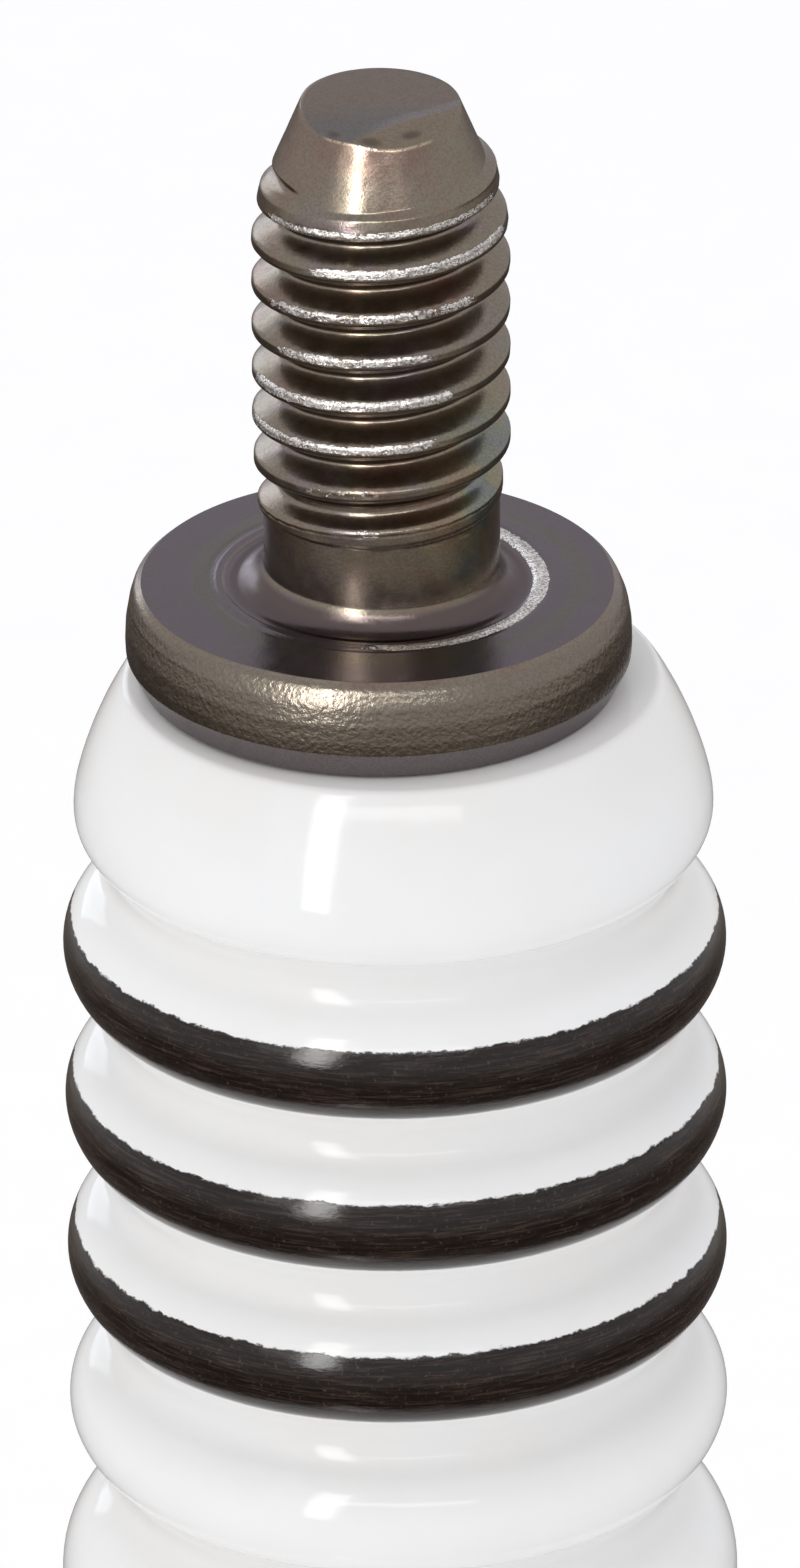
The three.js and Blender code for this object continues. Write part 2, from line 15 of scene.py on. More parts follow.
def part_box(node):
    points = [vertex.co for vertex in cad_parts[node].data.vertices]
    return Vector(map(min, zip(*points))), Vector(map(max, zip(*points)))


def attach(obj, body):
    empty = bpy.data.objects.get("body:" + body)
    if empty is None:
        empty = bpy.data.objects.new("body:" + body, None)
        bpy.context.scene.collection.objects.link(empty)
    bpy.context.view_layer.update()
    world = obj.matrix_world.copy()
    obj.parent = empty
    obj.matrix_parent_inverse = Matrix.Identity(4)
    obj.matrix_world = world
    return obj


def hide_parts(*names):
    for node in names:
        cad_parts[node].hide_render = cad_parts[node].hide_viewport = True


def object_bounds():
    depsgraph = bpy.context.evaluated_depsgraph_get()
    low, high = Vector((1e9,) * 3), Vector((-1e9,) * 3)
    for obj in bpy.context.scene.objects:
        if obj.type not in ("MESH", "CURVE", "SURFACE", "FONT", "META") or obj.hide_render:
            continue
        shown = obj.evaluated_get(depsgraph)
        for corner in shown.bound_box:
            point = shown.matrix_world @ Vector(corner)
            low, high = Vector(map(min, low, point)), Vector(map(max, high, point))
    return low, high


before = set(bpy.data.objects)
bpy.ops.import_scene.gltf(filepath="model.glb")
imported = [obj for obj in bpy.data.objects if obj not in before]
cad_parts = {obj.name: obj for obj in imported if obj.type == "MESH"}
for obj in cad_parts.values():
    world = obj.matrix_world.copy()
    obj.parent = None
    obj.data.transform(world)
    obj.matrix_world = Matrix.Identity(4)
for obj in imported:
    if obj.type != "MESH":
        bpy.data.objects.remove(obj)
cad_low, cad_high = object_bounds()

MM = 0.001
RIGHT_ANGLE = math.pi / 2
TURN = 2 * math.pi


def span(node):
    """Lowest and highest height and the largest radius of a CAD node, in millimetres."""
    low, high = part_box(node)
    return low.z / MM, high.z / MM, max(high.x, high.y) / MM


# ---------------------------------------------------------------- driving dimensions

STUD_END, STUD_TIP, FLANGE_RADIUS = span("terminal_stud")
NOSE_END, INSULATOR_TOP, COLLAR_RADIUS = span("insulator")
SHELL_END, CRIMP_TOP, _ = span("metal_shell")

COLUMNS = 144  # round each turned piece
RIB_PITCH = 2.55
RIB_RADIUS = 5.0
RIB_COUNT = 4
BANDED_RIBS = 3
BAND_DROP = 0.17
FIRST_RIB = INSULATOR_TOP - 4.35
BODY_RADIUS = 5.15
CAP_RADIUS = 4.81
BORE_RADIUS = 1.95

STUD_OFFSET = -0.19  # the stud is set a little off the insulator's axis, towards -X
STUD_LEAN = math.radians(0.6)
STUD_BEND = 0.048  # above its flange the stud steps towards +X by this
STUD_BEND_SLOPE = 0.0062  # and from there it bends back towards -X, for each millimetre up
STUD_ROOT = 1.53
STUD_CREST = 1.93
STUD_SHANK = 1.77
STUD_PITCH = 0.714
STUD_TIP_RADIUS = 1.18
STUD_CONE_GAIN = 0.416  # radius gained for each millimetre down the pointed end
STUD_CREST_HEIGHT = INSULATOR_TOP + 6.0  # a crest passes the front at this height
STUD_THREAD_BOTTOM = INSULATOR_TOP + 2.9
STUD_THREAD_START = -3.98  # the lowest groove runs out here, in turns from the crest height
STUD_THREAD_END = 3.48  # and the highest one here
STUD_LAST_CREST = 3.62  # the last crest has run out on the pointed end here
CREST_FOOT = STUD_SHANK + 0.025  # where the crests rise from the shank, four turns down
CREST_TOP = 1.545  # their radius if they went on up to the tip's height
CREST_GAIN = 0.19  # what it gains for each millimetre down, up to STUD_CREST
FLANGE_FOOT = INSULATOR_TOP + 0.05
FLANGE_TOP = INSULATOR_TOP + 1.62
RING_RADIUS = 2.43  # a rubbed ring round the stud, on the flange
# Rubbed stretches of the stud's crests: turn, first and last degrees from the front, and how worn.
WORN_CRESTS = (
    (3, -66, 70, 1.0),
    (2, -34, 74, 1.1),
    (1, -60, 46, 0.9),
    (0, -52, 26, 0.95),
    (-1, -76, 34, 1.2),
    (-2, -84, 26, 1.0),
    (-3, -38, 6, 0.62),
    (-4, -26, 22, 0.55),
    (1, 130, 200, 0.8),
    (-1, 110, 170, 0.7),
)
# Dents in the stud's end: degrees from the front, distance from the axis, length, and strength.
TIP_DENTS = (
    (-37, 1.14, 0.14, 0.8),
    (-7, 1.15, 0.2, 1.0),
    (26, 1.05, 0.19, 1.0),
)
DENT_WIDTH = 0.085
DENT_DEPTH = 0.02

THREAD_ROOT = 5.22
THREAD_CREST = 5.97
THREAD_PITCH = 1.25

HEX_ACROSS_FLATS = 17.5
HEX_BOTTOM = 4.4
HEX_TOP = 12.4


# ---------------------------------------------------------------- outlines and turned meshes


def arc(r, z, radius, start, end, steps=10):
    """Points round (r, z); angles are in degrees from the outward radius."""
    angles = np.radians(np.linspace(start, end, steps + 1))
    return [(r + radius * math.cos(a), z + radius * math.sin(a)) for a in angles]


def rounded(corners, steps=6):
    """A line through (r, z, fillet radius) corners, each rounded by a curve as long as the fillet."""
    points = []
    for i, (r, z, fillet) in enumerate(corners):
        here = np.array((r, z))
        before = np.array(corners[i - 1][:2]) if i else None
        after = np.array(corners[i + 1][:2]) if i + 1 < len(corners) else None
        if not fillet or before is None or after is None:
            points.append((r, z))
            continue
        back = (before - here) / np.linalg.norm(before - here)
        on = (after - here) / np.linalg.norm(after - here)
        half = math.acos(max(-1.0, min(1.0, float(back @ on)))) / 2
        reach = min(
            fillet / math.tan(half),
            0.49 * np.linalg.norm(before - here),
            0.49 * np.linalg.norm(after - here),
        )
        tangent_a, tangent_b = here + back * reach, here + on * reach
        for t in np.linspace(0, 1, steps + 1):
            point = (1 - t) ** 2 * tangent_a + 2 * t * (1 - t) * here + t**2 * tangent_b
            points.append((float(point[0]), float(point[1])))
    return points


def subdivided(points, step):
    """The same line with no stretch longer than step."""
    fine = [points[0]]
    for (r0, z0), (r1, z1) in zip(points, points[1:]):
        parts = max(1, math.ceil(math.hypot(r1 - r0, z1 - z0) / step))
        for i in range(1, parts + 1):
            t = i / parts
            fine.append((r0 + (r1 - r0) * t, z0 + (z1 - z0) * t))
    return fine


def turned(name, outline, columns=COLUMNS, shape=None, closed=False, sharp=35):
    """A mesh turned round Z from an outline of (r, z), run from the bottom up the outside.

    shape(r, z, angle) may move the points: arrays in, and the new r and z out, with a dict of further
    arrays to keep as mesh attributes. A closed outline joins its last point to its first.
    """
    rows = np.array(outline, float)
    angle = np.linspace(0, TURN, columns, endpoint=False)
    r = np.repeat(rows[:, :1], columns, 1)
    z = np.repeat(rows[:, 1:], columns, 1)
    marks = {}
    if shape:
        r, z, marks = shape(r, z, np.broadcast_to(angle, r.shape))
    points = np.stack([r * np.cos(angle), r * np.sin(angle), z], -1).reshape(-1, 3)
    count = len(rows)
    faces = []
    for i in range(count if closed else count - 1):
        a, b = i * columns, (i + 1) % count * columns
        for k in range(columns):
            n = (k + 1) % columns
            faces.append((a + k, a + n, b + n, b + k))
    mesh = bpy.data.meshes.new(name)
    mesh.from_pydata(points * MM, [], faces)
    for mark, values in marks.items():
        layer = mesh.attributes.new(mark, "FLOAT", "POINT")
        layer.data.foreach_set("value", values.reshape(-1).astype(np.float32))
    piece = bpy.data.objects.new(name, mesh)
    bpy.context.scene.collection.objects.link(piece)
    tidy_mesh(mesh, sharp)
    return piece


def tidy_mesh(mesh, sharp=35):
    """Welds points that coincide, faces outward, and shades smooth up to the sharp angle."""
    work = bmesh.new()
    work.from_mesh(mesh)
    bmesh.ops.remove_doubles(work, verts=work.verts, dist=1e-7)
    bmesh.ops.recalc_face_normals(work, faces=work.faces)
    work.to_mesh(mesh)
    work.free()
    mesh.shade_smooth()
    mesh.set_sharp_from_angle(angle=math.radians(sharp))


def placed(piece, body, node, material):
    """Hands a finished piece to the frame."""
    piece.data.materials.clear()
    piece.data.materials.append(material)
    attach(piece, body)
    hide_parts(node)
    return piece


def soft_min(a, b, width):
    """The lesser of a and b, blended over width where they meet."""
    share = np.clip(0.5 + 0.5 * (b - a) / width, 0, 1)
    return b + (a - b) * share - width * share * (1 - share)


def soft_max(a, b, width):
    return -soft_min(-a, -b, width)


def ridge_radius(away, root, crest, full_crest, half_width, crest_round, root_round):
    """Radius of a 60 degree thread at a distance along the axis from its crest, which may be unfinished."""
    flank = full_crest - math.tan(math.radians(60)) * (np.abs(away) - half_width)
    return soft_min(soft_max(flank, root, root_round), crest, crest_round)


def smooth_step(x):
    x = np.clip(x, 0, 1)
    return x * x * (3 - 2 * x)


def ripple(angle, z, seed, scale):
    """Repeatable soft noise on a cylinder, about -1 to 1."""
    flat = np.stack([np.cos(angle), np.sin(angle), np.broadcast_to(z, angle.shape)], -1)
    values = [
        noise.noise(Vector((x * scale[0], y * scale[0], h * scale[1] + seed)))
        for x, y, h in flat.reshape(-1, 3)
    ]
    return np.array(values).reshape(angle.shape)


# ---------------------------------------------------------------- material helpers


class Shader:
    """A small builder for one Principled material's node tree, in object space."""

    def __init__(self, name, roughness=0.4, metallic=0.0, **fixed):
        self.material = bpy.data.materials.new(name)
        self.material.use_nodes = True
        self.tree = self.material.node_tree
        self.surface = self.tree.nodes["Principled BSDF"]
        self.surface.inputs["Roughness"].default_value = roughness
        self.surface.inputs["Metallic"].default_value = metallic
        for socket, value in fixed.items():
            self.surface.inputs[socket.replace("_", " ")].default_value = value
        self.where = self.node("ShaderNodeTexCoord").outputs["Object"]

    def node(self, kind, **settings):
        made = self.tree.nodes.new(kind)
        for key, value in settings.items():
            setattr(made, key, value)
        return made

    def link(self, source, target):
        if hasattr(source, "links"):
            self.tree.links.new(source, target)
        elif hasattr(source, "__len__") and len(source) == 3 and target.type == "RGBA":
            target.default_value = (*source, 1.0)
        else:
            target.default_value = source

    def scaled(self, factors, offset=(0, 0, 0)):
        """Object coordinates in millimetres, multiplied by factors."""
        mapping = self.node("ShaderNodeMapping")
        self.link(self.where, mapping.inputs["Vector"])
        mapping.inputs["Scale"].default_value = [f / MM for f in factors]
        mapping.inputs["Location"].default_value = offset
        return mapping.outputs["Vector"]

    def noise(self, factors, detail=4.0, roughness=0.6, distortion=0.0, offset=(0, 0, 0)):
        """Noise, 0 to 1, with factors features per millimetre along X, Y and Z."""
        made = self.node("ShaderNodeTexNoise")
        self.link(self.scaled(factors, offset), made.inputs["Vector"])
        made.inputs["Scale"].default_value = 1.0
        made.inputs["Detail"].default_value = detail
        made.inputs["Roughness"].default_value = roughness
        made.inputs["Distortion"].default_value = distortion
        return made.outputs["Fac"]

    def cells(self, factors):
        """Distance from the middle of each of factors cells per millimetre."""
        made = self.node("ShaderNodeTexVoronoi", feature="F1")
        self.link(self.scaled(factors), made.inputs["Vector"])
        made.inputs["Scale"].default_value = 1.0
        return made.outputs["Distance"]

    def math(self, operation, a, b=None, c=None, clamp=False):
        made = self.node("ShaderNodeMath", operation=operation, use_clamp=clamp)
        for value, socket in zip((a, b, c), made.inputs):
            if value is not None:
                self.link(value, socket)
        return made.outputs["Value"]

    def ramp(self, value, low, high, out_low=0.0, out_high=1.0):
        """value from low..high brought to out_low..out_high, eased and clamped."""
        made = self.node("ShaderNodeMapRange", interpolation_type="SMOOTHSTEP")
        self.link(value, made.inputs["Value"])
        made.inputs["From Min"].default_value = low
        made.inputs["From Max"].default_value = high
        made.inputs["To Min"].default_value = out_low
        made.inputs["To Max"].default_value = out_high
        return made.outputs["Result"]

    def colours(self, value, *stops):
        """A colour ramp of (position, (r, g, b)) stops."""
        made = self.node("ShaderNodeValToRGB")
        self.link(value, made.inputs["Fac"])
        elements = made.color_ramp.elements
        while len(elements) < len(stops):
            elements.new(0.5)
        for element, (position, colour) in zip(elements, stops):
            element.position = position
            element.color = (*colour, 1.0)
        return made.outputs["Color"]

    def mix(self, share, a, b, blend="MIX"):
        made = self.node("ShaderNodeMix", data_type="RGBA", blend_type=blend)
        self.link(share, made.inputs["Factor"])
        self.link(a, made.inputs["A"])
        self.link(b, made.inputs["B"])
        return made.outputs["Result"]

    def axis(self, name):
        """The object's X, Y or Z in millimetres."""
        apart = self.node("ShaderNodeSeparateXYZ")
        self.link(self.where, apart.inputs[0])
        return self.math("DIVIDE", apart.outputs[name], MM)

    def radius(self):
        """Distance from the Z axis in millimetres."""
        apart = self.node("ShaderNodeSeparateXYZ")
        self.link(self.where, apart.inputs[0])
        x, y = apart.outputs["X"], apart.outputs["Y"]
        squares = self.math("MULTIPLY_ADD", x, x, self.math("MULTIPLY", y, y))
        return self.math("DIVIDE", self.math("SQRT", squares), MM)

    def facing_up(self):
        """The normal's Z, -1 to 1."""
        geometry = self.node("ShaderNodeNewGeometry")
        apart = self.node("ShaderNodeSeparateXYZ")
        self.link(geometry.outputs["Normal"], apart.inputs[0])
        return apart.outputs["Z"]

    def attribute(self, name):
        return self.node("ShaderNodeAttribute", attribute_name=name).outputs["Fac"]

    def bump(self, height, depth, after=None):
        """A bump of depth millimetres for a height of 0 to 1."""
        made = self.node("ShaderNodeBump")
        made.inputs["Strength"].default_value = 1.0
        made.inputs["Distance"].default_value = depth * MM
        self.link(height, made.inputs["Height"])
        if after is not None:
            self.link(after, made.inputs["Normal"])
        return made.outputs["Normal"]

    def finish(self, colour, roughness=None, normal=None):
        for socket, value in (("Base Color", colour), ("Roughness", roughness), ("Normal", normal)):
            if value is not None:
                self.link(value, self.surface.inputs[socket])
        return self.material


def band_distance(shader):
    """Height from the nearest band's middle, in millimetres; each band sits low on its rib."""
    height = shader.axis("Z")
    nearest = None
    for i in range(BANDED_RIBS):
        gap = shader.math("SUBTRACT", height, FIRST_RIB - i * RIB_PITCH - BAND_DROP)
        away = shader.math("ABSOLUTE", gap)
        nearest = away if nearest is None else shader.math("MINIMUM", nearest, away)
    return nearest


# ---------------------------------------------------------------- materials


def stud_brown(s, broad):
    """Brown-grey oxide, with a film of colours low on one side of the stud."""
    tone = s.colours(
        broad,
        (0.34, (0.225, 0.16, 0.13)),
        (0.46, (0.235, 0.19, 0.15)),
        (0.56, (0.225, 0.2, 0.155)),
        (0.68, (0.235, 0.19, 0.19)),
    )
    film = s.noise((0.9, 0.9, 1.3), detail=2.0, offset=(0, 5.0, 2.0))
    tints = s.colours(
        film,
        (0.36, (0.29, 0.215, 0.15)),
        (0.48, (0.27, 0.25, 0.16)),
        (0.56, (0.2, 0.24, 0.19)),
        (0.66, (0.19, 0.22, 0.24)),
    )
    low = s.ramp(s.axis("Z"), STUD_CREST_HEIGHT + 0.2, STUD_CREST_HEIGHT - 2.4, 0.0, 0.75)
    low = s.math("MULTIPLY", low, s.ramp(s.axis("Z"), FLANGE_TOP + 0.1, FLANGE_TOP + 0.5))
    side = s.ramp(s.math("MULTIPLY_ADD", s.axis("Y"), -0.35, s.axis("X")), 0.5, 1.7)
    return s.mix(s.math("MULTIPLY", low, side), tone, tints)


def flange_flat(s, broad):
    """The turned top of the flange, purplish with an olive ring."""
    olive_radius = 2.85
    tone = s.mix(s.ramp(broad, 0.35, 0.65), (0.135, 0.117, 0.139), (0.13, 0.115, 0.126))
    from_olive = s.math("ABSOLUTE", s.math("SUBTRACT", s.radius(), olive_radius))
    return s.mix(s.ramp(from_olive, 0.25, 0.05, 0.0, 0.6), tone, (0.132, 0.127, 0.104))


def stud_end_face(s):
    """The cropped end: painted grey sheen in front, brown behind, and brown again beyond a diagonal ridge
    with a painted highlight.
    """
    # Painted sheen: the dished front of the end is greyer than the brown behind.
    tone = s.mix(s.ramp(s.axis("Y"), -0.9, 0.1), (0.16, 0.152, 0.15), (0.195, 0.162, 0.138))
    beyond = s.math("SUBTRACT", s.math("MULTIPLY_ADD", s.axis("X"), 0.66, -0.72), s.axis("Y"))
    tone = s.mix(s.ramp(beyond, 0.0, 0.14), tone, (0.23, 0.188, 0.142))
    # Painted highlight: a paler line along the diagonal ridge.
    from_ridge = s.math("ADD", s.math("MULTIPLY_ADD", s.axis("X"), -0.66, 0.76), s.axis("Y"))
    ridge = s.ramp(s.math("ABSOLUTE", from_ridge), 0.2, 0.02)
    ridge = s.math("MULTIPLY", ridge, s.ramp(s.axis("X"), -0.6, 0.3))
    return s.mix(s.math("MULTIPLY", ridge, 0.6), tone, (0.25, 0.235, 0.255))


def terminal_steel():
    """Oxidised brown-grey steel: purplish where turned flat, tinted low on one side, worn to bright metal
    where rubbed, with painted shade in the cropped end's dents and painted glints along that end's edge.
    """
    s = Shader("terminal_steel", roughness=0.3, metallic=1.0, Specular_Tint=(0.75, 0.73, 0.75, 1.0))
    broad = s.noise((0.7, 0.7, 0.6), detail=3.0, offset=(3.1, 0, 7.7))
    fine = s.noise((24, 24, 24), detail=3.0)
    flat = s.ramp(s.axis("Z"), FLANGE_TOP + 0.5, FLANGE_TOP + 0.2)
    flat = s.math("MULTIPLY", flat, s.ramp(s.facing_up(), 0.72, 0.93))
    cropped = s.ramp(s.axis("Z"), STUD_TIP - 0.55, STUD_TIP - 0.35)
    cropped = s.math("MULTIPLY", cropped, s.ramp(s.facing_up(), 0.6, 0.98))
    # Painted highlight: a broken gold glint along the edge where the cone meets the cropped end.
    broken_rim_glint = s.math("MULTIPLY", s.attribute("rim_glint"), s.ramp(fine, 0.38, 0.54))
    underside = s.ramp(s.axis("Z"), FLANGE_FOOT + 0.45, FLANGE_FOOT + 0.4)
    hammered = s.attribute("hammered")

    tone = s.mix(flat, stud_brown(s, broad), flange_flat(s, broad))
    tone = s.mix(cropped, tone, stud_end_face(s))
    # Painted shade: the dents in the cropped end are darkened.
    tone = s.mix(s.ramp(s.attribute("dent_shade"), 0.15, 0.9, 0.0, 0.7), tone, (0.075, 0.061, 0.05))
    tone = s.mix(s.math("MULTIPLY", broken_rim_glint, 0.85), tone, (0.62, 0.5, 0.36))
    tone = s.mix(s.math("MULTIPLY", s.attribute("foot"), 0.85), tone, (0.09, 0.07, 0.074))
    tone = s.mix(underside, tone, (0.225, 0.2, 0.206))
    tone = s.mix(hammered, tone, (0.208, 0.182, 0.149))
    tone = s.mix(s.ramp(fine, 0.35, 0.7, 0.0, 0.4), tone, (0.11, 0.085, 0.07))

    patches = s.noise((3.2, 3.2, 5.0), detail=2.0, offset=(1.0, 4.0, 0))
    ragged = s.math("MULTIPLY_ADD", patches, 0.5, s.noise((13, 13, 20), detail=5.0, roughness=0.7))
    # Rubbed metal shows silver; the same mark also paints a silver glint spot at the front of the cropped
    # end.
    bare_and_glint = s.ramp(s.math("MULTIPLY_ADD", s.attribute("wear_and_glint"), 0.5, ragged), 1.08, 1.15)
    chips = s.noise((24, 24, 34), detail=4.0, roughness=0.7)
    silver = s.mix(s.ramp(chips, 0.38, 0.6), (0.3, 0.265, 0.24), (0.85, 0.83, 0.81))
    tone = s.mix(bare_and_glint, tone, silver)

    rough = s.ramp(s.noise((4, 4, 4), detail=4.0), 0.3, 0.7, 0.18, 0.27)
    rough = s.math("MULTIPLY_ADD", s.math("ADD", hammered, bare_and_glint), 0.04, rough)
    rough = s.math("MULTIPLY_ADD", cropped, 0.18, rough)
    peel = s.math("MULTIPLY", s.noise((13, 13, 13), detail=2.0, roughness=0.5), hammered)
    normal = s.bump(fine, 0.0022)
    normal = s.bump(peel, 0.013, after=normal)
    normal = s.bump(s.math("MULTIPLY", chips, bare_and_glint), 0.012, after=normal)
    return s.finish(tone, rough, normal)


def glazed_alumina():
    """White glaze over alumina, with three printed dark bands under the glaze and painted shade deep in the
    grooves.
    """
    s = Shader("glazed_alumina", roughness=0.07, IOR=1.4)
    edge = s.noise((3.2, 3.2, 6.0), detail=7.0, roughness=0.75)
    speck = s.noise((14, 14, 14), detail=3.0)
    away = s.math("MULTIPLY_ADD", edge, 0.2, band_distance(s))
    band = s.ramp(away, 0.745, 0.715)
    streaks = s.noise((1.3, 1.3, 22), detail=6.0, roughness=0.7, distortion=0.3)
    ink = s.colours(
        streaks,
        (0.32, (0.003, 0.0015, 0.001)),
        (0.5, (0.011, 0.006, 0.0045)),
        (0.66, (0.042, 0.029, 0.023)),
    )
    ink = s.mix(s.ramp(speck, 0.58, 0.75, 0.0, 0.5), ink, (0.09, 0.07, 0.06))
    cream = s.noise((0.5, 0.5, 0.5), detail=3.0)
    white = s.mix(s.ramp(cream, 0.35, 0.65), (0.862, 0.865, 0.862), (0.852, 0.85, 0.838))
    # Painted shade: the glaze turns darker and warmer deep in the grooves between the ribs.
    groove_shade = s.ramp(s.radius(), 4.75, 4.25, 0.0, 0.3)
    white = s.mix(groove_shade, white, (0.8, 0.775, 0.745))
    colour = s.mix(band, white, ink)
    ripples = s.noise((1.1, 1.1, 1.6), detail=2.0)
    lumps = s.noise((6, 6, 22), detail=4.0)
    normal = s.bump(ripples, 0.006)
    print_relief = s.math("MULTIPLY", band, s.ramp(lumps, 0.2, 0.8, 0.6, 1.0))
    normal = s.bump(print_relief, 0.004, after=normal)
    rough = s.ramp(band, 0.0, 1.0, 0.1, 0.12)
    gloss = s.ramp(band, 0.0, 1.0, 0.24, 0.5)
    s.link(gloss, s.surface.inputs["Specular IOR Level"])
    return s.finish(colour, rough, normal)


def plated_steel(name, colour, dark, rough_low=0.2, rough_high=0.34):
    """Bright nickel plating: faint turning lines, dulled patches and darker scuffs."""
    s = Shader(name, metallic=1.0)
    patches = s.noise((0.35, 0.35, 0.35), detail=4.0)
    lines = s.noise((0.15, 0.15, 26), detail=3.0)
    scuffs = s.noise((3, 3, 3), detail=7.0, roughness=0.75)
    tone = s.mix(s.ramp(patches, 0.35, 0.68), colour, dark)
    tone = s.mix(s.ramp(scuffs, 0.6, 0.75, 0.0, 0.35), tone, dark)
    rough = s.ramp(patches, 0.3, 0.7, rough_low, rough_high)
    rough = s.math("ADD", rough, s.ramp(scuffs, 0.5, 0.75, 0.0, 0.14))
    normal = s.bump(lines, 0.004)
    normal = s.bump(scuffs, 0.004, after=normal)
    return s.finish(tone, rough, normal)


def drawn_nickel(name, colour, soot):
    """Drawn nickel wire: lengthwise lines, heat-dulled and sooted in patches."""
    s = Shader(name, metallic=1.0)
    lines = s.noise((9, 9, 0.6), detail=4.0)
    patches = s.noise((0.9, 0.9, 0.9), detail=5.0)
    tone = s.mix(s.ramp(patches, 0.4, 0.7), colour, soot)
    rough = s.ramp(patches, 0.3, 0.7, 0.3, 0.5)
    return s.finish(tone, rough, s.bump(lines, 0.006))


def granular(name, light, dark, grain, relief, roughness, metallic=0.0):
    """A pressed or fused mineral: mottled, grained and matt."""
    s = Shader(name, metallic=metallic)
    mottle = s.noise((grain, grain, grain), detail=6.0, roughness=0.7)
    grit = s.cells((grain * 2.2, grain * 2.2, grain * 2.2))
    tone = s.mix(s.ramp(mottle, 0.35, 0.65), dark, light)
    rough = s.ramp(mottle, 0.3, 0.7, roughness - 0.08, roughness + 0.06)
    return s.finish(tone, rough, s.bump(grit, relief))


# ---------------------------------------------------------------- terminal stud


def stud_outline():
    """The stud before its thread is rolled, from the rod's end inside the insulator up to the tip."""
    foot = FLANGE_FOOT
    rod, neck = 1.55, 1.85
    keys = []
    for i in range(3):
        base = STUD_END + 0.3 + 1.2 * i
        keys += [(1.2, base, 0.05), (1.42, base + 0.3, 0.08), (1.42, base + 0.6, 0.08)]
    hidden = [
        (0.0, STUD_END, 0),
        (1.1, STUD_END, 0.1),
        *keys,
        (1.2, STUD_END + 3.9, 0.1),
        (rod, STUD_END + 4.3, 0.15),
        (rod, foot - 1.2, 0.1),
        (neck, foot - 0.9, 0.1),
        (neck, foot, 0.05),
    ]
    fillet = arc(STUD_SHANK + 0.437, FLANGE_TOP + 0.42, 0.45, 260, 194, 16)
    flange = [
        (3.4, foot, 0),
        (3.58, foot, 0.05),
        (3.79, foot + 0.42, 0.08),
        (FLANGE_RADIUS, foot + 0.6, 0.2),
        (3.79, FLANGE_TOP - 0.68, 0.5),
        (3.74, FLANGE_TOP - 0.38, 0.5),
        (3.64, FLANGE_TOP - 0.16, 0.3),
        (3.52, FLANGE_TOP - 0.05, 0.02),
        (2.9, FLANGE_TOP - 0.02, 0.3),
        (2.62, FLANGE_TOP, 0.1),
        (2.54, FLANGE_TOP - 0.008, 0.03),
        (2.48, FLANGE_TOP + 0.002, 0.03),
        (2.44, FLANGE_TOP + 0.012, 0.03),
        (2.36, FLANGE_TOP + 0.01, 0.03),
        (2.3, FLANGE_TOP - 0.03, 0.05),
        (2.22, FLANGE_TOP - 0.02, 0.05),
        *((r, z, 0) for r, z in fillet),
        (STUD_SHANK, STUD_THREAD_BOTTOM, 0),
    ]
    cone_foot = STUD_TIP - (STUD_SHANK - STUD_TIP_RADIUS) / STUD_CONE_GAIN
    pointed = [
        (STUD_SHANK, STUD_THREAD_BOTTOM, 0),
        (STUD_SHANK, cone_foot, 0),
        (STUD_TIP_RADIUS, STUD_TIP, 0.04),
        (0.0, STUD_TIP, 0),
    ]
    return [
        *subdivided(rounded(hidden), 0.4),
        *subdivided(rounded(flange), 0.03),
        *subdivided(rounded(pointed), 0.0185)[1:],
    ]


def towards(x, y, degrees):
    """Distance from the axis in a direction that is degrees round from the front."""
    turn = math.radians(degrees)
    return x * math.sin(turn) - y * math.cos(turn)


def tip_dents(x, y):
    """Shallow dents along the front of the stud's end, 0 to 1."""
    dents = 0
    for degrees, out, length, strength in TIP_DENTS:
        along_rim = towards(x, y, degrees + 90) / length
        from_rim = (out - towards(x, y, degrees)) / DENT_WIDTH
        dents = dents + strength * np.exp(-(along_rim**2) - from_rim**2)
    return dents


def tip_face(x, y):
    """Height of the stud's cropped end: dished to the front left, with a worn shoulder and small dents."""
    dish = 0.15 * np.maximum(towards(x, y, -30) - 0.2, 0) ** 2
    shoulder = 0.32 * soft_max(towards(x, y, 37) - 0.74, 0, 0.12)
    tilt = 0.05 * smooth_step((0.6 - y) / 1.4)
    return STUD_TIP + 0.03 - tilt - dish - shoulder - DENT_DEPTH * tip_dents(x, y)


def crest_wear(turn, front, away, z):
    """How rubbed the crests are, 0 to 1 and over, by turn, degrees from the front and place on the crest."""
    worn = np.zeros_like(z)
    for number, first, last, amount in WORN_CRESTS:
        middle, half = (first + last) / 2, (last - first) / 2
        off = np.abs((front - middle + 180) % 360 - 180)
        inside = smooth_step((half - off) / 16 + 0.5)
        worn = np.maximum(worn, amount * inside * (turn == number))
    middle = np.where(turn == 3, -0.1, 0.04)
    return worn * smooth_step(1.7 - np.abs(away - middle) / 0.06)


def crest_radius(along, drop):
    """Radius of the crests: rising from the shank in the lowest turns, and falling off towards the tip."""
    crest = CREST_FOOT + (STUD_CREST - CREST_FOOT) * smooth_step(along + 4)
    heaped = 0.07 * smooth_step(1 - np.abs(along + 4.3) / 0.25)
    return soft_min(crest + heaped, CREST_TOP + CREST_GAIN * drop, 0.06)


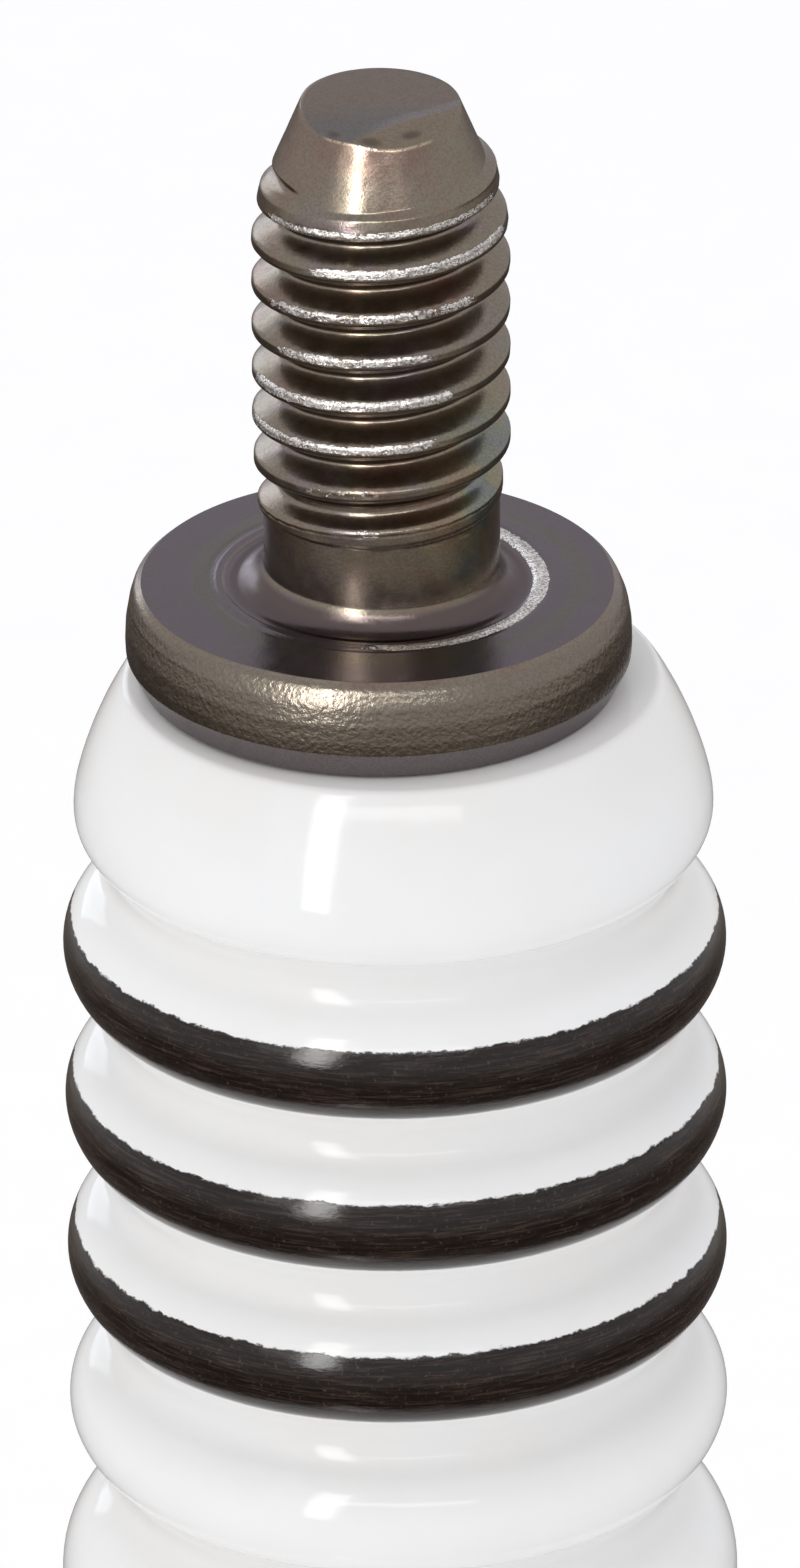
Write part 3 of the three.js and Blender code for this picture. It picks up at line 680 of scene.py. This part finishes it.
def rolled_radius(z, front, level, turn, away):
    """Radius of the shank and the pointed end, with the thread rolled on to them."""
    drop = STUD_TIP - z
    along = turn + front / 360
    crest = crest_radius(along, drop)
    near = away + 0.09 * smooth_step((-3.4 - along) / 0.4)
    rolled = ridge_radius(near, STUD_ROOT, crest, STUD_CREST, 0.085, 0.07, 0.1)

    # Where the groove has run out, the crest beside it still stands proud of the shank.
    groove = np.floor(level) + 0.5 + front / 360
    cut = smooth_step((groove - STUD_THREAD_START) / 0.2) * smooth_step((STUD_THREAD_END - groove) / 0.2)
    proud = smooth_step((0.17 - np.abs(near)) / 0.12) * smooth_step((along + 4.6) / 0.3)
    blank = STUD_SHANK + (crest - STUD_SHANK) * proud
    rolled = blank + (rolled - blank) * cut

    cone = STUD_TIP_RADIUS + drop * STUD_CONE_GAIN
    formed = smooth_step((STUD_LAST_CREST - along) / 0.45) * smooth_step((0.22 - np.abs(away)) / 0.11)
    return soft_min(rolled, cone + np.maximum(crest - cone, 0) * formed, 0.03)


def flange_spread(r, z, front):
    """What the edge of the flange's flat gains, 0 to 1: it reaches further out to the left and behind."""
    face = smooth_step((r - 2.9) / 0.5) * smooth_step((3.78 - r) / 0.2) * (z > FLANGE_TOP - 0.4)
    left = smooth_step((105 - np.abs(front + 130)) / 35)
    behind = smooth_step((60 - np.abs(front - 150)) / 35)
    return face * np.minimum(left + behind, 1)


def rubbed_ring(r, z, front):
    """A rubbed ring on the flange, broadest to the right."""
    half_width = 0.045 + 0.03 * smooth_step((95 - np.abs(front - 85)) / 50)
    ring = 1.15 * smooth_step(2.2 - np.abs(r - RING_RADIUS) / half_width) * (np.abs(z - FLANGE_TOP) < 0.1)
    return ring * smooth_step((100 - np.abs(front - 82)) / 25)


def stud_marks(r, z, x, y, front, worn):
    """What the stud's material needs to know of its shape; each mark is 0 to 1 or a little over."""
    outside = r > STUD_TIP_RADIUS - 0.05
    # A narrow band where the cropped end meets the cone, for the painted gold glint there.
    rim_glint = smooth_step(1.3 - np.abs(z - tip_face(x, y)) / 0.03) * smooth_step((42 - np.abs(front + 2)) / 8)
    # Painted highlight: a silver glint spot at the front of the cropped end's edge, carried by the
    # rubbed-metal mark.
    glint_spot = 1.1 * rim_glint * smooth_step((9 - np.abs(front + 9)) / 4) * outside
    hammered = smooth_step((r - 3.55) / 0.08) * smooth_step((z - FLANGE_FOOT - 0.39) / 0.06) * (r < 3.9)
    foot = smooth_step((r - STUD_SHANK) / 0.06) * smooth_step((2.3 - r) / 0.1)
    return {
        "wear_and_glint": np.maximum(np.maximum(worn, glint_spot), rubbed_ring(r, z, front)),
        "hammered": hammered,
        # where shade is painted into the dents of the cropped end
        "dent_shade": tip_dents(x, y) * (z > STUD_TIP - 0.4),
        "rim_glint": rim_glint * (z > STUD_TIP - 0.5) * outside,
        "foot": foot * (np.abs(z - FLANGE_TOP - 0.2) < 0.3),
    }


def stud_shape(r, z, angle):
    """Rolls the thread, crops the tip, chips the crests and marks what is worn bright, hammered or tinted,
    and where glints and shade are painted.
    """
    front = np.degrees(angle + RIGHT_ANGLE + math.pi) % 360 - 180
    level = (z - STUD_CREST_HEIGHT) / STUD_PITCH - front / 360
    turn = np.round(level)
    away = (level - turn) * STUD_PITCH
    on_thread = (r > STUD_TIP_RADIUS - 0.05) & (r < STUD_SHANK + 1e-6) & (z > STUD_THREAD_BOTTOM)
    new_r = np.where(on_thread, rolled_radius(z, front, level, turn, away), r)
    new_r = new_r + 0.05 * flange_spread(r, z, front)

    worn = crest_wear(turn, front, away, z) * on_thread
    chips = 0.022 * worn * np.maximum(ripple(angle, z, 5.0, (17.0, 10.0)), 0)
    pit_depth = np.where(z > STUD_TIP - 1.1, 0.006, 0.012)
    pits = pit_depth * np.maximum(ripple(angle, z, 8.0, (5.0, 4.0)), 0)
    new_r = new_r - on_thread * (chips + pits)

    x, y = new_r * np.cos(angle), new_r * np.sin(angle)
    edge = 0.035 + 0.05 * smooth_step((y + 0.9) / 0.6)
    new_z = np.where(z > STUD_TIP - 0.7, soft_min(z, tip_face(x, y), edge), z)
    raised = smooth_step((r * np.sin(angle) - 0.8) / 2.6) * (z > FLANGE_TOP - 0.4) * (r > 2.0)
    return new_r, new_z + 0.03 * raised, stud_marks(r, z, x, y, front, worn)


def build_terminal_stud():
    piece = turned("terminal_stud_turned", stud_outline(), 264, stud_shape, sharp=70)
    pivot = Matrix.Translation((0, 0, FLANGE_TOP * MM))
    lean = pivot @ Matrix.Rotation(STUD_LEAN, 4, "Y") @ pivot.inverted()
    for vertex in piece.data.vertices:
        above = vertex.co.z / MM - FLANGE_TOP
        vertex.co.x += (STUD_BEND - STUD_BEND_SLOPE * above) * MM * min(max(above / 0.3, 0), 1)
    piece.data.transform(Matrix.Translation((STUD_OFFSET * MM, 0, 0)) @ lean)
    return placed(piece, "plug", "terminal_stud", terminal_steel())


# ---------------------------------------------------------------- insulator


def insulator_outline():
    rib_arc, groove_arc = 0.95, 0.5
    rib_centre = RIB_RADIUS - rib_arc
    half = RIB_PITCH / 2
    groove_centre = rib_centre + math.sqrt((rib_arc + groove_arc) ** 2 - half**2)
    sweep = math.degrees(math.atan2(half, groove_centre - rib_centre))

    last_groove = FIRST_RIB - (RIB_COUNT - 1) * RIB_PITCH - half
    shoulder_arc = 1.6
    shoulder_centre = BODY_RADIUS - shoulder_arc
    drop = math.sqrt((shoulder_arc + groove_arc) ** 2 - (groove_centre - shoulder_centre) ** 2)
    shoulder_sweep = math.degrees(math.atan2(drop, groove_centre - shoulder_centre))

    cap_arc = 0.64  # under the cap's widest place
    cap_centre = CAP_RADIUS - cap_arc
    first_groove = FIRST_RIB + half
    rise = math.sqrt((cap_arc + groove_arc) ** 2 - (groove_centre - cap_centre) ** 2)
    cap_sweep = math.degrees(math.atan2(rise, groove_centre - cap_centre))

    points = [
        (1.3, NOSE_END),
        *arc(2.1, NOSE_END + 0.2, 0.2, -90, 0, 4),
        (3.05, -6.0),
        (3.85, -5.2),
        (3.85, 0.9),
        *rounded([(3.9, 1.0, 0), (COLLAR_RADIUS, 3.0, 0.3), (COLLAR_RADIUS, 7.5, 0.3), (5.2, 8.25, 0)]),
        (BODY_RADIUS, 8.4),
        *arc(shoulder_centre, last_groove - drop, shoulder_arc, 0, shoulder_sweep, 16),
        *arc(groove_centre, last_groove, groove_arc, 180 + shoulder_sweep, 180 - sweep, 12)[1:],
    ]
    for i in range(RIB_COUNT - 1, -1, -1):
        rib = FIRST_RIB - i * RIB_PITCH
        above = sweep if i else cap_sweep
        points += arc(rib_centre, rib, rib_arc, -sweep, sweep, 28)[1:]
        points += arc(groove_centre, rib + half, groove_arc, 180 + sweep, 180 - above, 12)[1:]
    widest = first_groove + rise
    points += arc(cap_centre, widest, cap_arc, -cap_sweep, 0, 14)[1:]
    turned_in = 0
    for radius, steepest in ((1.7, 14.5), (5.75, 31)):
        r, z = points[-1]
        bend = math.radians(turned_in)
        r, z = r - radius * math.cos(bend), z - radius * math.sin(bend)
        points += arc(r, z, radius, turned_in, steepest, 14)[1:]
        turned_in = steepest
    r, z = points[-1]
    points += rounded([(r, z, 0), (r - 0.1, INSULATOR_TOP, 0.25), (BORE_RADIUS, INSULATOR_TOP, 0)])[1:]
    points += [(BORE_RADIUS, -1.75), (1.3, -2.4)]
    return points


def build_insulator():
    outline = subdivided(insulator_outline(), 0.6)
    piece = turned("insulator_glazed", outline, COLUMNS, closed=True, sharp=50)
    return placed(piece, "plug", "insulator", glazed_alumina())


# ---------------------------------------------------------------- shell


def shell_outline():
    """Outside from the threaded end up, over the crimp, and back down the bore."""
    corners = [
        (3.7, SHELL_END, 0.05),
        (4.95, SHELL_END, 0.1),
        (THREAD_ROOT, SHELL_END + 0.35, 0.1),
        (THREAD_ROOT, -2.9, 0.05),
        (5.15, -2.8, 0.05),
        (5.15, 0.0, 0.1),
        (8.2, 0.0, 0.08),
        (8.4, 0.2, 0.1),
        (8.4, 2.8, 0.15),
        (8.1, 3.1, 0.12),
        (7.4, 3.2, 0.12),
        (7.25, 3.5, 0.15),
        (7.25, HEX_BOTTOM - 0.2, 0.1),
        (8.45, HEX_BOTTOM, 0.05),
        (10.2, HEX_BOTTOM + 0.75, 0.0),
        (10.2, HEX_TOP - 0.75, 0.0),
        (8.45, HEX_TOP, 0.05),
        (7.3, HEX_TOP + 0.1, 0.12),
        (7.3, HEX_TOP + 1.0, 0.0),
    ]
    outside = rounded(corners)
    crimp = arc(5.7, HEX_TOP + 1.0, 1.6, 0, 90, 14)
    inside = rounded(
        [
            (5.6, CRIMP_TOP, 0.0),
            (5.32, CRIMP_TOP - 0.1, 0.1),
            (5.3, 14.35, 0.1),
            (5.65, 14.1, 0.1),
            (6.1, 13.75, 0.1),
            (6.3, 13.25, 0.1),
            (6.3, 2.75, 0.1),
            (3.95, 0.65, 0.1),
            (3.95, -5.6, 0.1),
            (3.3, -6.25, 0.05),
            (3.3, -7.3, 0.1),
            (3.7, -7.7, 0.1),
            (3.7, SHELL_END, 0.0),
        ]
    )
    return subdivided(outside + crimp[1:] + inside[:-1], 0.09)


def shell_shape(r, z, angle):
    """Cuts the hexagon's flats and rolls the neck's thread."""
    across = HEX_ACROSS_FLATS / 2
    from_flat = (angle % (TURN / 6)) - TURN / 12
    flat = across / np.cos(from_flat)
    on_hex = (z > HEX_BOTTOM - 0.02) & (z < HEX_TOP + 0.02) & (r > 7.8)
    soft = 0.07
    gap = flat - r
    lower = 0.5 * (flat + r - np.sqrt(gap**2 + soft**2))
    new_r = np.where(on_hex, lower, r)
    turns = (z - SHELL_END) / THREAD_PITCH - (angle + RIGHT_ANGLE) / TURN
    away = ((turns + 0.5) % 1 - 0.5) * THREAD_PITCH
    ridge = ridge_radius(away, THREAD_ROOT, THREAD_CREST, THREAD_CREST, 0.09, 0.08, 0.1)
    starts = smooth_step((z - SHELL_END - 0.6) / 0.9)
    ends = smooth_step((-3.1 - z) / 0.9)
    on_thread = (np.abs(r - THREAD_ROOT) < 1e-6) & (z < -2.9)
    new_r = np.where(on_thread, r + (ridge - THREAD_ROOT) * starts * ends, new_r)
    return new_r, z, {}


def build_shell():
    piece = turned("metal_shell_plated", shell_outline(), 180, shell_shape, closed=True, sharp=40)
    look = plated_steel("shell_plating", (0.62, 0.61, 0.59), (0.4, 0.39, 0.37))
    return placed(piece, "plug", "metal_shell", look)


# ---------------------------------------------------------------- gasket and electrodes


def build_outer_gasket():
    low, high, outer = span("outer_gasket")
    inner = 5.75
    corner = 0.55
    middle = (low + high) / 2
    points = [
        *arc(inner + corner, low + corner, corner, 180, 270, 10),
        *arc(outer - corner, low + corner, corner, 270, 360, 10),
        *arc(outer - corner, high - corner, corner, 0, 90, 10),
        *arc(inner + corner, high - corner, corner, 90, 170, 9),
        (inner + 0.45, high - 0.62),
        (outer - 0.8, high - 0.45),
        (outer - 0.55, middle),
        (outer - 0.8, low + 0.45),
        (inner + 0.45, low + 0.62),
    ]
    piece = turned("outer_gasket_folded", points, COLUMNS, closed=True, sharp=50)
    look = plated_steel("gasket_steel", (0.6, 0.6, 0.59), (0.42, 0.41, 0.4), 0.24, 0.36)
    return placed(piece, "gasket", "outer_gasket", look)


def build_ground_electrode():
    """A bent flat strap with rounded edges."""
    low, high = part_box("ground_electrode")
    top, bottom, outer, reach = high.z / MM, low.z / MM, high.x / MM, low.x / MM
    thick, width, bend = 1.2, 2.6, 0.9
    inside = outer - thick
    face = bottom + thick
    side = [(inside, top)]
    side += arc(inside - bend, face + bend, bend, 0, -90, 12)
    side += [(reach, face), (reach, bottom)]
    side += arc(inside - bend, face + bend, bend + thick, -90, 0, 16)
    side += [(outer, top)]
    mesh = bpy.data.meshes.new("ground_electrode_strap")
    work = bmesh.new()
    corners = [work.verts.new((x * MM, -width / 2 * MM, z * MM)) for x, z in side]
    face_made = work.faces.new(corners)
    pushed = bmesh.ops.extrude_face_region(work, geom=[face_made])["geom"]
    moved = [g for g in pushed if isinstance(g, bmesh.types.BMVert)]
    bmesh.ops.translate(work, verts=moved, vec=(0, width * MM, 0))
    bmesh.ops.recalc_face_normals(work, faces=work.faces)
    work.to_mesh(mesh)
    work.free()
    piece = bpy.data.objects.new("ground_electrode_strap", mesh)
    bpy.context.scene.collection.objects.link(piece)
    edge = piece.modifiers.new("edge", "BEVEL")
    edge.width = 0.16 * MM
    edge.segments = 4
    edge.limit_method = "ANGLE"
    edge.angle_limit = math.radians(40)
    apply_modifiers(piece)
    mesh = piece.data
    mesh.shade_smooth()
    mesh.set_sharp_from_angle(angle=math.radians(40))
    look = drawn_nickel("strap_nickel", (0.5, 0.48, 0.44), (0.3, 0.27, 0.24))
    return placed(piece, "plug", "ground_electrode", look)


def apply_modifiers(piece):
    graph = bpy.context.evaluated_depsgraph_get()
    made = bpy.data.meshes.new_from_object(piece.evaluated_get(graph))
    piece.modifiers.clear()
    piece.data = made


def build_centre_electrode():
    low, high, _ = span("centre_electrode_sheath")
    stem, collar, head, core = 1.25, 1.8, 1.4, 0.75
    points = rounded(
        [
            (0.0, low, 0),
            (stem, low, 0.08),
            (stem, -2.35, 0.05),
            (collar, -1.75, 0.05),
            (collar, -1.3, 0.05),
            (head, -1.15, 0.05),
            (head, high, 0.05),
            (core, high, 0.03),
            (core, -19.4, 0.05),
            (0.0, -19.8, 0),
        ]
    )
    piece = turned("centre_electrode_turned", subdivided(points, 0.6), 72, sharp=50)
    look = drawn_nickel("electrode_nickel", (0.55, 0.53, 0.49), (0.34, 0.31, 0.28))
    placed(piece, "plug", "centre_electrode_sheath", look)

    low, high, radius = span("centre_electrode_core")
    points = rounded([(0.0, low, 0), (radius, low + 0.33, 0.05), (radius, high, 0.05), (0.0, high, 0)])
    piece = turned("electrode_core_copper", subdivided(points, 0.6), 64, sharp=50)
    look = drawn_nickel("core_copper", (0.78, 0.4, 0.26), (0.5, 0.24, 0.16))
    return placed(piece, "plug", "centre_electrode_core", look)


# ---------------------------------------------------------------- sealed pieces


def build_seals():
    look = granular("copper_glass", (0.3, 0.15, 0.09), (0.13, 0.06, 0.04), 3.0, 0.03, 0.5, 0.3)
    low, high, radius = span("upper_glass_seal")
    inner, pocket = 1.5, STUD_END - 0.05  # the stud's end sits in the pocket
    points = [
        (0.0, low, 0),
        (radius, low, 0.1),
        (radius, high, 0.1),
        (inner, high, 0.05),
        (inner, pocket, 0.1),
        (0.0, pocket, 0),
    ]
    piece = turned("upper_glass_seal_fused", subdivided(rounded(points), 0.5), 64)
    placed(piece, "plug", "upper_glass_seal", look)

    low, high, radius = span("lower_glass_seal")
    head, pocket = 1.45, -0.05  # the electrode's head sits in the pocket
    points = [
        (0.0, pocket, 0),
        (head, pocket, 0.1),
        (head, low, 0.05),
        (radius, low, 0.1),
        (radius, high, 0.1),
        (0.0, high, 0),
    ]
    piece = turned("lower_glass_seal_fused", subdivided(rounded(points), 0.5), 64)
    placed(piece, "plug", "lower_glass_seal", look)

    low, high, radius = span("resistor")
    points = [(0.0, low, 0), (radius, low, 0.15), (radius, high, 0.15), (0.0, high, 0)]
    piece = turned("resistor_fired", subdivided(rounded(points), 0.5), 64)
    look = granular("carbon_resistor", (0.06, 0.06, 0.065), (0.02, 0.02, 0.022), 4.0, 0.03, 0.75)
    return placed(piece, "plug", "resistor", look)


def build_packing():
    wire = plated_steel("packing_wire", (0.55, 0.54, 0.52), (0.34, 0.33, 0.31), 0.3, 0.42)
    for node in ("upper_packing_ring", "lower_packing_ring"):
        low, high, outer = span(node)
        radius = (high - low) / 2
        ring = arc(outer - radius, (low + high) / 2, radius, -180, 162, 19)
        piece = turned(node + "_wire", ring, 96, closed=True, sharp=80)
        placed(piece, "plug", node, wire)

    low, high, outer = span("talc_packing")
    inner, middle = BODY_RADIUS + 0.05, (low + high) / 2
    points = rounded(
        [
            (inner, middle, 0),
            (inner, low, 0.15),
            (outer, low, 0.15),
            (outer, high, 0.15),
            (inner, high, 0.15),
            (inner, middle, 0),
        ]
    )
    piece = turned("talc_packing_pressed", subdivided(points[:-1], 0.4), 120, closed=True)
    look = granular("talc_powder", (0.72, 0.7, 0.66), (0.55, 0.52, 0.48), 5.0, 0.04, 0.9)
    placed(piece, "plug", "talc_packing", look)

    low, high, outer = span("inner_seat_gasket")
    inner = 3.38
    start = low + 0.18  # part way up the inner face
    rise = outer - inner
    points = rounded(
        [
            (inner, start, 0),
            (inner, low, 0.05),
            (outer, low + rise, 0.05),
            (outer, high, 0.05),
            (inner, high - rise, 0.05),
            (inner, start, 0),
        ]
    )
    piece = turned("inner_seat_gasket_pressed", points[:-1], 96, closed=True)
    look = plated_steel("seat_gasket_steel", (0.5, 0.5, 0.48), (0.32, 0.31, 0.3), 0.3, 0.42)
    return placed(piece, "plug", "inner_seat_gasket", look)


# ---------------------------------------------------------------- stage, light and camera

ELEVATION = math.radians(26.6)
ROLL = math.radians(0.49)
CAMERA_DISTANCE = 350.0
VIEW_LONG_SIDE = 23.7216  # what the frame's long side takes in, at the plug
SENSOR = 36.0
RIB_TWO = FIRST_RIB - RIB_PITCH  # the camera and the lights turn round this height
AIM = (0.1, 0, 5.09)  # the middle of the view, from there
LIGHT_DISTANCE = 300.0
# The tent's colours, by height from 0 straight below to 1 straight above.
TENT = (
    (0.067, (0.11, 0.095, 0.085)),
    (0.18, (0.2, 0.175, 0.155)),
    (0.276, (0.4, 0.365, 0.33)),
    (0.4, (0.72, 0.7, 0.69)),
    (0.5, (0.85, 0.85, 0.87)),
)


def add_light(name, azimuth, elevation, size, radiance, colour, gloss_only=True):
    """A rectangular soft light facing the ribs; angles in degrees round them, azimuth 0 at the camera."""
    light = bpy.data.lights.new(name, "AREA")
    light.shape = "RECTANGLE"
    light.size, light.size_y = size[0] * MM, size[1] * MM
    light.energy = radiance * math.pi * light.size * light.size_y
    light.color = colour
    lamp = bpy.data.objects.new(name, light)
    bpy.context.scene.collection.objects.link(lamp)
    a, e = math.radians(azimuth), math.radians(elevation)
    away = Vector((math.sin(a) * math.cos(e), -math.cos(a) * math.cos(e), math.sin(e)))
    lamp.visible_camera = False
    lamp.visible_diffuse = not gloss_only
    lamp.location = Vector((0, 0, RIB_TWO * MM)) + away * LIGHT_DISTANCE * MM
    lamp.rotation_mode = "QUATERNION"
    lamp.rotation_quaternion = (-away).to_track_quat("-Z", "Y")


def build_floor():
    height = cad_low.z - 0.02 * MM
    reach = 1500 * MM
    mesh = bpy.data.meshes.new("floor")
    corners = [(-reach, -reach), (reach, -reach), (reach, reach), (-reach, reach)]
    mesh.from_pydata([(x, y, height) for x, y in corners], [], [(0, 1, 2, 3)])
    floor = bpy.data.objects.new("floor", mesh)
    bpy.context.scene.collection.objects.link(floor)
    paint = Shader("floor_paper", roughness=0.9)
    grain = paint.noise((0.6, 0.6, 0.6), detail=3.0)
    tone = paint.mix(grain, (0.93, 0.93, 0.93), (0.9, 0.9, 0.9))
    paint.surface.inputs["Emission Color"].default_value = (1, 1, 1, 1)
    paint.surface.inputs["Emission Strength"].default_value = 0.17
    mesh.materials.append(paint.finish(tone))
    floor.visible_glossy = False


def build_tent():
    """The world's light: pale above, darker below, and darkest below and behind."""
    world = bpy.data.worlds.new("tent")
    world.use_nodes = True
    tree = world.node_tree

    def node(kind, *values, **settings):
        made = tree.nodes.new(kind)
        for key, value in settings.items():
            setattr(made, key, value)
        for value, socket in zip(values, made.inputs):
            if isinstance(value, float):
                socket.default_value = value
            else:
                tree.links.new(value, socket)
        return made.outputs

    around = tree.nodes.new("ShaderNodeTexCoord").outputs["Generated"]
    apart = node("ShaderNodeSeparateXYZ", around)
    below = node("ShaderNodeMath", apart["Z"], 0.0, operation="MINIMUM")[0]
    behind = node("ShaderNodeMapRange", apart["Y"], -0.5, 0.4)[0]
    height = node("ShaderNodeMath", below, behind, apart["Z"], operation="MULTIPLY_ADD")[0]
    share = node("ShaderNodeMath", height, 0.5, 0.5, operation="MULTIPLY_ADD")[0]
    shade = tree.nodes.new("ShaderNodeValToRGB")
    elements = shade.color_ramp.elements
    for position, colour in TENT:
        elements.new(position).color = (*colour, 1.0)
    for spare in (elements[-1], elements[0]):
        elements.remove(spare)
    tree.links.new(share, shade.inputs[0])
    tree.links.new(shade.outputs["Color"], tree.nodes["Background"].inputs["Color"])
    bpy.context.scene.world = world


def build_lights():
    warm, cool = (1.0, 0.985, 0.96), (0.8, 0.9, 1.0)
    add_light("window_tall", -27, 26, (56, 270), 11.5, warm)
    add_light("window_bar", -2, 35, (290, 30), 6.5, warm)
    add_light("window_glow", -34, 35, (150, 250), 1.15, warm, gloss_only=False)
    add_light("kicker_back", -157, 14, (130, 110), 2.0, cool)


def build_camera():
    """A long lens at the plug's height, framed on the terminal and the ribs."""
    data = bpy.data.cameras.new("camera")
    camera = bpy.data.objects.new("camera", data)
    scene = bpy.context.scene
    scene.collection.objects.link(camera)
    scene.camera = camera
    data.sensor_fit = "AUTO"
    data.sensor_width = SENSOR
    data.lens = SENSOR * CAMERA_DISTANCE / VIEW_LONG_SIDE
    data.clip_start, data.clip_end = 0.01, 10.0
    pivot = Vector((0, 0, RIB_TWO))
    place = pivot + CAMERA_DISTANCE * Vector((0, -math.cos(ELEVATION), math.sin(ELEVATION)))
    ahead = (pivot + Vector(AIM) - place).normalized()
    level = ahead.cross(Vector((0, 0, 1))).normalized()
    upright = level.cross(ahead)
    up = math.cos(ROLL) * upright + math.sin(ROLL) * level
    right = math.cos(ROLL) * level - math.sin(ROLL) * upright
    turn = Matrix((right, up, -ahead)).transposed()
    camera.matrix_world = Matrix.Translation(place * MM) @ turn.to_4x4()
    scene.view_settings.view_transform = "Standard"


build_terminal_stud()
build_insulator()
build_shell()
build_outer_gasket()
build_ground_electrode()
build_centre_electrode()
build_seals()
build_packing()
build_floor()
build_tent()
build_lights()
build_camera()
